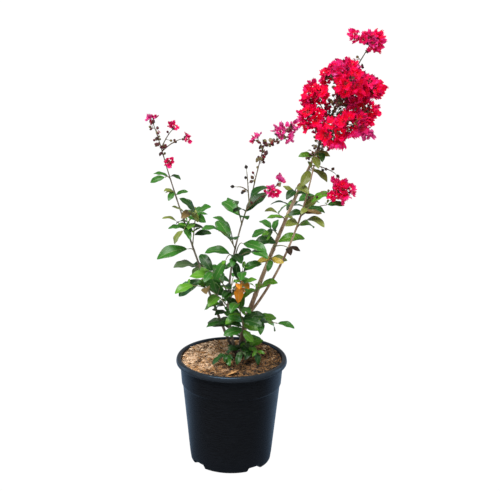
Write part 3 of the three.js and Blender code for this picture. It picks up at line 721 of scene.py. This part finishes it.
# Dark, common and light colour.
BARKS = {
    "bark_tan": ((0.17, 0.095, 0.055), (0.38, 0.24, 0.15), (0.62, 0.46, 0.31)),
    "bark_grey": ((0.12, 0.09, 0.07), (0.24, 0.19, 0.145), (0.4, 0.34, 0.27)),
    "bark_green": ((0.07, 0.05, 0.02), (0.14, 0.13, 0.045), (0.22, 0.24, 0.09)),
    "twig_skin": ((0.12, 0.07, 0.04), (0.21, 0.18, 0.08), (0.3, 0.32, 0.15)),
    "stalk_skin": ((0.09, 0.03, 0.02), (0.16, 0.11, 0.05), (0.2, 0.2, 0.08)),
}
LIMB_STEP = 1.6  # from ring to ring
SUNK = 3  # how far below its start a stem has its level foot


def build_limb(name, joints):
    """A limb with flaking bark, a lobed flare at its foot and a swelling at each joint."""
    foot, _, _, radii, flare, bark = LIMBS[name]
    arc = arcs[name]
    span = sqrt(float(arc.chord @ arc.chord))
    sides, rows = 20, int(span / LIMB_STEP)
    rings = []
    for i in range(rows + 1):
        t = i / rows
        ring_radii = []
        swelling = sum(0.16 * exp(-(((t - joint) * span) / 2.6) ** 2) for joint in joints)
        for k in range(sides):
            angle = FULL_TURN * k / sides
            around = Vector((3 * cos(angle), 3 * sin(angle), t * span * 0.035))
            furrow = noise.noise(around * 1.4)
            patch = Vector((around.x * 0.7, around.y * 0.7, t * span * 0.06 + 9))
            flake = smooth_step(0.05, 0.2, noise.noise(patch))
            lobes = 1 + 0.25 * cos(5 * angle + 1) + 0.15 * cos(3 * angle)
            radius = mix(*radii, t) * (1 + 0.05 * furrow + 0.035 * flake + swelling)
            ring_radii.append(radius + flare * lobes * exp(-t * span / FLARE_HEIGHT))
        rings.append(arc.ring(t, ring_radii))
    if foot[2] == GROUND:
        ahead = arc.heading(0)
        rings[0] += np.outer((GROUND - SUNK - rings[0][:, 2]) / ahead[2], ahead)
    limb = Pile(f"{name}_bark", bark_material(f"{name}_{bark}", *BARKS[bark]))
    limb.add(np.concatenate(rings), tube_faces(rows + 1, sides))
    limb.build("bark", [name])


# ---- growth rule


def grow_leaves(arc, leaf_length, count, first_turn, draw):
    """Leaves in pairs up a twig, crosswise if it is steep, and an odd one at its tip."""
    leaves = []
    pairs = ceil(count / 2)
    steep = unit(arc.chord)[2] > LEAF.steep_from
    turn = radians(first_turn)
    for i in range(pairs):
        last = i == pairs - 1
        alone = last and count % 2 == 1
        where = 1 if last else mix(LEAF.first_pair, 1, i / (pairs - 1))
        for k in range(1 if alone else 2):
            a, b, c, d, e = draw(), draw(), draw(), draw(), draw()
            t = max(where - (0 if last else LEAF.stagger * k), LEAF.lowest)
            out = arc.across(t, turn + pi * k + (a - 0.5) * LEAF.stray)
            wide = LEAF.spread_last if last else LEAF.spread_pair
            spread = radians(mix(*(LEAF.spread_alone if alone else wide), b))
            ahead = unit(arc.heading(t) * cos(spread) + out * sin(spread) + LIGHT * LEAF.rise)
            level = unit(np.cross(ahead, LIGHT + arc.heading(t) * LEAF.lean_along))
            side = on_circle(level, np.cross(level, ahead), (d - 0.5) * LEAF.roll)
            length = leaf_length * mix(*LEAF.length, c)
            leaves.append(Record(
                root=arc.at(t), ahead=ahead, side=side, face=np.cross(side, ahead),
                length=length, width=length * mix(*LEAF.width, a), droop=mix(*LEAF.droop, e),
            ))
        turn += (pi / 2 if steep else 0) + (draw() - 0.5) * LEAF.turn_stray
    return leaves


def grow_heads(arc, width, count, habit, draw):
    """Flowers, buds or pods on stalks, spiralling up a spray by the golden angle."""
    start, reach = habit
    heads = []
    turn = draw() * FULL_TURN
    for i in range(count):
        a, b, c = draw(), draw(), draw()
        last = i == count - 1
        t = 1 if last else mix(start, 1, (i + 0.5 * a) / max(count - 1, 1))
        out = arc.across(t, turn)
        spread = radians(mix(*(HEAD.spread_last if last else HEAD.spread_side), b))
        ahead = arc.heading(t) * cos(spread) + out * sin(spread)
        stalk = width * reach * mix(*HEAD.stalk, c)
        radius = width * mix(*HEAD.radius, a)
        heads.append(Record(root=arc.at(t), ahead=ahead, stalk=stalk, radius=radius, turn=turn))
        turn += GOLDEN_ANGLE
    return heads


# ---- leaves

TWIG_GRID = (24, 7)  # steps along it and sides
TWIG = (1.5, 0.9)  # radii at foot and tip, in mm
AXIL_TWIG = (0.8, 0.5)
LEAF_STALK = (0.75, 0.5)
AXIL_SHARE = 0.34  # how long an axil's leaves are beside its leaf
FOOT_AXIL_SHARE = 0.5
BLADE_START = 0.06  # as a share of the leaf's length
STALK_END = 0.08
LEAF_STATIONS = np.array((0, 0.05, 0.12, 0.2, 0.28, 0.36, 0.44, 0.52, 0.6, 0.68, 0.76, 0.84, 0.92, 0.97, 1))
# Across its upper side and back under it: share of the half width, and height in mm.
LEAF_SECTION = (
    (-1, 0), (-0.52, 0.16), (-0.05, 0.26), (0.05, 0.26), (0.52, 0.16),
    (1, 0), (0.52, -0.16), (0.06, -0.45), (-0.06, -0.45), (-0.52, -0.16),
)
UPPER, UNDER, RIB = 0, 1, 2
SECTION_SLOTS = (UPPER, UPPER, RIB, UPPER, UPPER, UNDER, UNDER, RIB, UNDER, UNDER)
VEINS_AT = 0.52  # where, across the half width, veins rise and sink by turns
VEIN = 0.16


def half_width(u):
    """Half width of a blade at u, as a share of its full width."""
    return 0.5 * sin(pi * min(u, 0.999) ** 0.9) ** 0.78 + 0.012


def blade_points(leaf, draw):
    """A blade folded along its rib, with sunk veins, waved edges and a drooping tip."""
    radius = leaf.length / leaf.droop
    waves, phase = 1.4 + 1.2 * draw(), draw()
    fold = 0.22 + 0.2 * draw()
    points = []
    for i, u in enumerate(LEAF_STATIONS):
        reach = leaf.width * half_width(float(u))
        vein = VEIN if i % 2 else -VEIN
        for share, lift in LEAF_SECTION:
            slant = 0.05 * abs(share) * sin(pi * u)
            t = mix(BLADE_START, 1, min(u + slant, 1))
            bend = leaf.droop * t
            point = leaf.root + leaf.ahead * (radius * sin(bend))
            point = point - leaf.face * (radius * (1 - cos(bend)))
            up = leaf.face * cos(bend) + leaf.ahead * sin(bend)
            height = lift * min(reach / 3, 1) + reach * (fold * abs(share) - 0.1 * share * share)
            height += 0.12 * reach * share * share * sin(FULL_TURN * (waves * u + phase + 0.2 * share))
            if abs(share) == VEINS_AT:
                height += vein * min(reach / 6, 1)
            points.append(point + leaf.side * (reach * share) + up * height)
    return np.array(points)


def add_leaf(leaf, tint, draw):
    """A blade on its short stalk."""
    rows, columns = len(LEAF_STATIONS), len(LEAF_SECTION)
    slots = list(SECTION_SLOTS) * (rows - 1) + [RIB, RIB]
    piles[f"leaves_{tint}"].add(blade_points(leaf, draw), tube_faces(rows, columns), slots)
    stalk = Arc(leaf.root, leaf.root + leaf.ahead * leaf.length * STALK_END)
    add_tube("leaf_twigs", stalk, LEAF_STALK, 2, 5)


def add_tube(name, arc, radii, steps, sides, nodes=()):
    """A tube from its radius at the foot to that at the tip, a little swollen at its nodes."""
    rings = []
    for i in range(steps + 1):
        t = i / steps
        swelling = sum(0.35 * exp(-(((t - node) / 0.03) ** 2)) for node in nodes)
        rings.append(arc.ring(t, [mix(*radii, t) + swelling] * sides))
    piles[name].add(np.concatenate(rings), tube_faces(steps + 1, sides))


def dress_leaf_shoot(row):
    """One shoot: its twig, its leaves, and small side twigs in some of their axils."""
    name, parent, along, tip, rise, leaf_length, count, first_turn, *tints = row
    tints = (tints or [COMMON_LEAVES])[0].split()
    young = tints[0] if tints[0] in WARM_TINTS else "bright"
    arc = arcs[name] = Arc(arcs[parent].at(along), tip, UP * rise)
    pairs = ceil(count / 2)
    nodes = [mix(LEAF.first_pair, 1, i / max(pairs - 1, 1)) for i in range(pairs)]
    add_tube("leaf_twigs", arc, TWIG, *TWIG_GRID, nodes)
    fine = draw_for(f"{name} fine")
    for i, leaf in enumerate(grow_leaves(arc, leaf_length, count, first_turn, draw_for(name))):
        add_leaf(leaf, tints[i % len(tints)], fine)
        if name in BUSHY_FEET:
            add_axil_shoot(leaf, BUSHY_FEET[name], FOOT_AXIL_SHARE, fine)
        elif fine() < AXIL_CHANCE:
            add_axil_shoot(leaf, young, AXIL_SHARE, fine)


def add_axil_shoot(leaf, tint, share, draw):
    """A side twig in a leaf's axil, with two or three leaves of a share of its length."""
    length = leaf.length * (0.16 + 0.16 * draw())
    ahead = unit(leaf.ahead * 0.8 + leaf.face * 0.5 + leaf.side * (draw() - 0.5))
    arc = Arc(leaf.root, leaf.root + ahead * length, leaf.face * 1.5)
    add_tube("leaf_twigs", arc, AXIL_TWIG, 4, 5)
    for small in grow_leaves(arc, leaf.length * share, 2 + int(2 * draw()), 360 * draw(), draw):
        add_leaf(small, tint, draw)


# ---- flowers, buds and seed pods

PETALS = 6
STAMENS = 7
PETAL_ROWS = (0, 0.3, 0.42, 0.56, 0.7, 0.83, 0.93, 1)  # out from the middle, as shares of the radius
PETAL_COLUMNS = 9
CLAW_END = 0.38
EDGE_FROM = 5  # the row from which a petal has its edge tint
SPRAY_TWIG = (1.4, 0.9)  # radii at foot and tip, in mm
SPRAY_NODES = (0.2, 0.45, 0.7)
HEAD_STALK = (0.7, 0.5)
FILAMENT = (0.25, 0.18)
ANTHER = 0.38
BEAD_POINTS = np.array(((1, 0, 0), (0, 1, 0), (-1, 0, 0), (0, -1, 0), (0, 0, 1), (0, 0, -1)))
BEAD_FACES = [(k, (k + 1) % 4, 4) for k in range(4)] + [((k + 1) % 4, k, 5) for k in range(4)]
POINT_FACES = ((0, 1, 2), (1, 3, 2), (3, 0, 2), (0, 3, 1))
GLOBE_SIDES = 12
# Distance along the axis and radius of each ring, as shares of the size.
OUTLINES = {
    "calyces": ((-1.1, 0.25), (-0.7, 0.75), (-0.2, 1), (0.15, 0.9)),
    "buds": ((-1.25, 0.3), (-0.95, 0.62), (-0.45, 0.95), (0.1, 1), (0.6, 0.78), (0.92, 0.38), (1.1, 0.08)),
    "seed_pods": ((-1.1, 0.3), (-0.8, 0.7), (-0.3, 0.98), (0.2, 0.95), (0.7, 0.62), (1.0, 0.3), (1.35, 0.06)),
}
GROOVES = {"calyces": 0.12, "buds": 0.16, "seed_pods": 0.3}  # their depth, as shares of the radius

# Limb or spray, where on it the part starts and ends, number of heads and their reach in mm.
FADED_PARTS = {
    "faded_heart": (AXIS, 0.02, 0.66, 64, 25),
    "faded_neck": (AXIS, 0.74, 0.96, 5, 14),
    "faded_foot": (RIGHT, 0.93, 1, 9, 17),
    "faded_left": ("spray_left", 0.15, 0.95, 7, 12),
    "faded_spent": ("spray_spent", 0.6, 1, 8, 10),
    "faded_arm": ("spray_spent_side", 0, 0.7, 8, 10),
}
FADED_BUDS = 0.5  # the share of their heads that are buds
FADED_FLOWERS = 0.34  # the share of their side heads that are flowers
SIDE_SIZES = (0.72, 0.5)  # of the heads that branch off a stalk


def petal_points(middle, ahead, out, radius, draw):
    """One petal: a thin claw that opens into a broad, strongly crinkled blade."""
    side = unit(np.cross(ahead, out))
    phases = (draw(), draw(), draw())
    lean, twist, size = 1.1 * (draw() - 0.4), 1.3 * (draw() - 0.5), 0.82 + 0.32 * draw()
    broad = 0.34 + 0.12 * draw()
    points = []
    for place in PETAL_ROWS:
        open_part = max((place - CLAW_END) / (1 - CLAW_END), 0)
        swell = sin(pi * (0.06 + 0.74 * open_part)) ** 0.8 if open_part else 0
        half = radius * (0.03 + broad * swell)
        for k in range(PETAL_COLUMNS):
            share = 2 * k / (PETAL_COLUMNS - 1) - 1
            crinkle = sin(FULL_TURN * (1.3 * share + phases[0] + 0.5 * open_part))
            crinkle += 0.6 * sin(FULL_TURN * (1.9 * share + phases[1] - 0.4 * open_part))
            frill = 0.035 * sin(FULL_TURN * (1.6 * share + phases[2])) * open_part ** 2
            reach = radius * size * (place - 0.3 * share * share * open_part + frill)
            height = radius * (0.4 * place ** 1.3 + lean * open_part + 0.15 * crinkle * open_part ** 0.8)
            height += twist * share * half * open_part
            points.append(middle + out * reach + side * (share * half) + ahead * height)
    return np.array(points)


def add_flower(middle, ahead, level, radius, turn, tint, draw):
    """Six crinkled petals round a calyx, with a tuft of yellow-tipped stamens."""
    over = np.cross(level, ahead)
    rows = len(PETAL_ROWS)
    slots = [int(row >= EDGE_FROM) for row in range(1, rows) for _ in range(PETAL_COLUMNS - 1)]
    for k in range(PETALS):
        out = on_circle(level, over, turn + FULL_TURN * (k + 0.3 * (draw() - 0.5)) / PETALS)
        points = petal_points(middle, ahead, out, radius, draw)
        piles[f"petals_{tint}"].add(points, grid_faces(rows, PETAL_COLUMNS, False), slots)
    add_calyx(middle, ahead, level, 0.2 * radius, 0)
    for k in range(STAMENS):
        out = on_circle(level, over, FULL_TURN * (k + draw()) / STAMENS)
        tip = middle + ahead * radius * (0.35 + 0.15 * draw()) + out * radius * (0.12 + 0.16 * draw())
        add_tube("stamens", Arc(middle, tip), FILAMENT, 1, 3)
        piles["stamens"].add(tip + ANTHER * BEAD_POINTS, BEAD_FACES, 1)


def add_globe(name, middle, ahead, level, size, slot):
    """A calyx cup, bud or pod, pinched between six ribs."""
    pinch = 1 - GROOVES[name] * (0.5 - 0.5 * np.cos(PETALS * even_angles(GLOBE_SIDES)))
    around = spokes(level, np.cross(level, ahead), GLOBE_SIDES) * pinch[:, None]
    rings = [middle + size * (ahead * along + around * radius) for along, radius in OUTLINES[name]]
    piles[name].add(np.concatenate(rings), flipped(tube_faces(len(rings), GLOBE_SIDES)), slot)


def add_calyx(middle, ahead, level, size, slot):
    """The ribbed cup under a flower, with its six points spread outwards."""
    add_globe("calyces", middle, ahead, level, size, slot)
    over = np.cross(level, ahead)
    for k in range(PETALS):
        out = on_circle(level, over, FULL_TURN * (k + 0.5) / PETALS)
        base, side, tip = out * 0.75, np.cross(ahead, out) * 0.42, out * 1.5 - ahead * 0.1
        corners = np.array((base - side, base + side, tip, base - ahead * 0.25))
        piles["calyces"].add(middle + size * corners, POINT_FACES, slot)


def stalk_of(head):
    return Arc(head.root, head.root + head.ahead * head.stalk)


def dress_head(head, kind, tint, draw):
    """One flower, bud, pod or empty calyx on its stalk."""
    stalk = stalk_of(head)
    spot = stalk.at(1), head.ahead, stalk.across(1, head.turn)
    add_tube("flower_stalks", stalk, HEAD_STALK, 2, 5)
    if kind == "flower":
        add_flower(*spot, head.radius, head.turn, tint, draw)
    elif kind == "bud":
        add_globe("buds", *spot, BUD_RADIUS, int(3 * draw()))
    elif kind == "cup":
        add_calyx(*spot, mix(*CUP_RADII, draw()), 1 + int(2 * draw()))
    else:
        add_globe("seed_pods", *spot, POD_RADIUS, int(2 * draw()))


def dress_flower_spray(row):
    """One spray: its twig, the rule's flowers, buds and pods, and smaller ones among them."""
    name, parent, along, tip, rise, width, flowers, buds, pods, *tints = row
    tints = (tints or [COMMON_PETALS])[0].split()
    arc = arcs[name] = Arc(arcs[parent].at(along), tip, UP * rise)
    add_tube("flower_stalks", arc, SPRAY_TWIG, *TWIG_GRID, SPRAY_NODES)
    draw, fine = draw_for(name), draw_for(f"{name} fine")
    for kind, count in (("flower", flowers), ("bud", buds), ("pod", pods)):
        for i, head in enumerate(grow_heads(arc, width, count, getattr(HEAD, kind), draw)):
            dress_head(head, kind, tints[i % len(tints)], fine)
            if kind == "flower":
                add_side_heads(head, ("flower", "bud"), tints[(i + 1) % len(tints)], fine)
    small = HEAD.small_width * width
    for head in grow_heads(arc, small, flowers + buds, HEAD.small_bud, fine):
        dress_head(head, "bud", None, fine)


def dress_faded(name):
    """Buds and empty calyces crowded round part of a limb, most flowers fallen."""
    limb, start, end, count, reach = FADED_PARTS[name]
    draw = draw_for(name)
    arc = Arc(arcs[limb].at(start), arcs[limb].at(end))
    for head in grow_heads(arc, reach, count, (0, 1), draw):
        dress_head(head, "bud" if draw() < FADED_BUDS else "cup", None, draw)
        # Their flowers take the wine tint, painted shade among the crowded heads.
        add_side_heads(head, ("flower" if draw() < FADED_FLOWERS else "cup", "bud"), "wine", draw)


def add_side_heads(head, kinds, tint, draw):
    """Two smaller heads that branch off a head's stalk."""
    stalk = stalk_of(head)
    for kind, size in zip(kinds, SIDE_SIZES):
        out = stalk.across(0.4, head.turn + FULL_TURN * draw())
        ahead = unit(head.ahead * 0.75 + out * 0.8)
        side = Record(root=stalk.at(0.35), ahead=ahead, turn=FULL_TURN * draw())
        side.stalk, side.radius = head.stalk * size, head.radius * size
        dress_head(side, kind, tint, draw)


# ---- stage

CAMERA_PLACE = (0.0394, -3.264, 1.606)
CAMERA_PITCH = 18.2
CAMERA_ROLL = 0.8
CAMERA_LENS = 108

# Kind, place, strength and settings of each lamp. All look at AIM.
AIM = (0, 0, 0.5)
SOFT_BOX = {"shape": "RECTANGLE", "size": 0.6, "size_y": 1.6, "color": (0.5, 0.76, 1)}
LAMPS = {
    "overhead": ("SUN", (-0.4, -0.75, 2.7), 3.95, {"angle": radians(40)}),
    "left_box": ("AREA", (-1.9, 0.6, 0.7), 7, SOFT_BOX),
    "right_box": ("AREA", (1.9, 0.6, 0.7), 7, SOFT_BOX),
}
FLOOR_GLOW = 1.03
WORLD_GLOW = 0.3

# Where the card turns from black to blue, from front to back, in metres.
CARD_FADE = (-0.2, 0.2)
CARD_BLUE = (0.28, 0.425, 0.62)


def add_camera():
    """The front view, from 3.4 m away, looking down by 18 degrees."""
    camera = add_object("camera", bpy.data.cameras.new("camera"))
    camera.data.lens = CAMERA_LENS
    pitch = Matrix.Rotation(radians(90 - CAMERA_PITCH), 4, "X")
    roll = Matrix.Rotation(radians(CAMERA_ROLL), 4, "Z")
    camera.matrix_world = Matrix.Translation(CAMERA_PLACE) @ pitch @ roll
    bpy.context.scene.camera = camera


def add_lamp(name, kind, place, watts, settings):
    light = bpy.data.lights.new(name, kind)
    light.energy = watts
    for setting, value in settings.items():
        setattr(light, setting, value)
    lamp = add_object(name, light)
    lamp.location = place
    lamp.rotation_euler = (Vector(AIM) - Vector(place)).to_track_quat("-Z", "Y").to_euler()


def add_sheet(name, size, height):
    """A square of the stage, and its skin."""
    bpy.ops.mesh.primitive_plane_add(size=size, location=(0, 0, height))
    sheet = bpy.context.object
    sheet.name = name
    skin = new_material(f"{name}_skin", (0, 0, 0), 1)
    sheet.data.materials.append(skin)
    return sheet, skin


def add_stage():
    """A glowing floor, a card that only shows in reflections, a plain sky and lamps."""
    _, skin = add_sheet("floor", 120, 0)
    shader_of(skin)["Specular IOR Level"].default_value = 0
    shader_of(skin)["Emission Color"].default_value = (1, 1, 1, 1)
    shader_of(skin)["Emission Strength"].default_value = FLOOR_GLOW
    card, skin = add_sheet("card", 8, 0.002)
    back = map_range(skin, own_axis(skin, "Y"), CARD_FADE, interpolation_type="SMOOTHSTEP")
    glow = colour_ramp(skin, back, ((0, (0, 0, 0)), (1, CARD_BLUE)))
    link(skin, glow, "Emission Color")
    shader_of(skin)["Emission Strength"].default_value = 1
    card.visible_camera = card.visible_diffuse = card.visible_shadow = False
    world = bpy.data.worlds.new("studio")
    bpy.context.scene.world = world
    world.use_nodes = True
    sky = world.node_tree.nodes["Background"].inputs
    sky["Color"].default_value = (1, 1, 1, 1)
    sky["Strength"].default_value = WORLD_GLOW
    for name, lamp in LAMPS.items():
        add_lamp(name, *lamp)
    bpy.context.scene.view_settings.view_transform = "Standard"


# ---- building

add_camera()
add_stage()
build_pot()
build_soil_bed()
build_chips()

arcs = {name: Arc(*row[:3]) for name, row in LIMBS.items()}
skins = {
    "leaf_twigs": [bark_material("twig_skin", *BARKS["twig_skin"])],
    "flower_stalks": [bark_material("stalk_skin", *BARKS["stalk_skin"])],
}
for tint, colours in LEAF_TINTS.items():
    skins[f"leaves_{tint}"] = [
        grainy_material(f"leaf_{tint}_{side}", colour, roughness, **LEAF_GRAIN)
        for colour, (side, roughness) in zip(colours, LEAF_ROUGHNESS.items())
    ]
for tint, colours in PETAL_TINTS.items():
    skins[f"petals_{tint}"] = [
        grainy_material(f"petal_{tint}_{zone}", colour, **PETAL_GRAIN)
        for colour, zone in zip(colours, ("blade", "edge"))
    ]
for name, plain in SMALL_SKINS.items():
    skins[name] = [new_material(*skin) for skin in plain]
piles = {name: Pile(name, *materials) for name, materials in skins.items()}

for limb in LIMBS:
    build_limb(limb, [along for _, parent, along, *_ in LEAF_SHOOTS + FLOWER_SPRAYS if parent == limb])
for shoot in LEAF_SHOOTS:
    dress_leaf_shoot(shoot)
for spray in FLOWER_SPRAYS:
    dress_flower_spray(spray)
for part in FADED_PARTS:
    dress_faded(part)

# Twigs and stalks stand for the CAD nodes of all masses.
nodes = {
    "leaf_twigs": [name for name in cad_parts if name.startswith("leaves_")],
    "flower_stalks": [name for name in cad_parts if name.startswith(("bloom_", "spray_", "seed_head_"))],
}
for name, pile in piles.items():
    pile.build("leaves" if name.startswith("lea") else "blossom", nodes.get(name, ()))
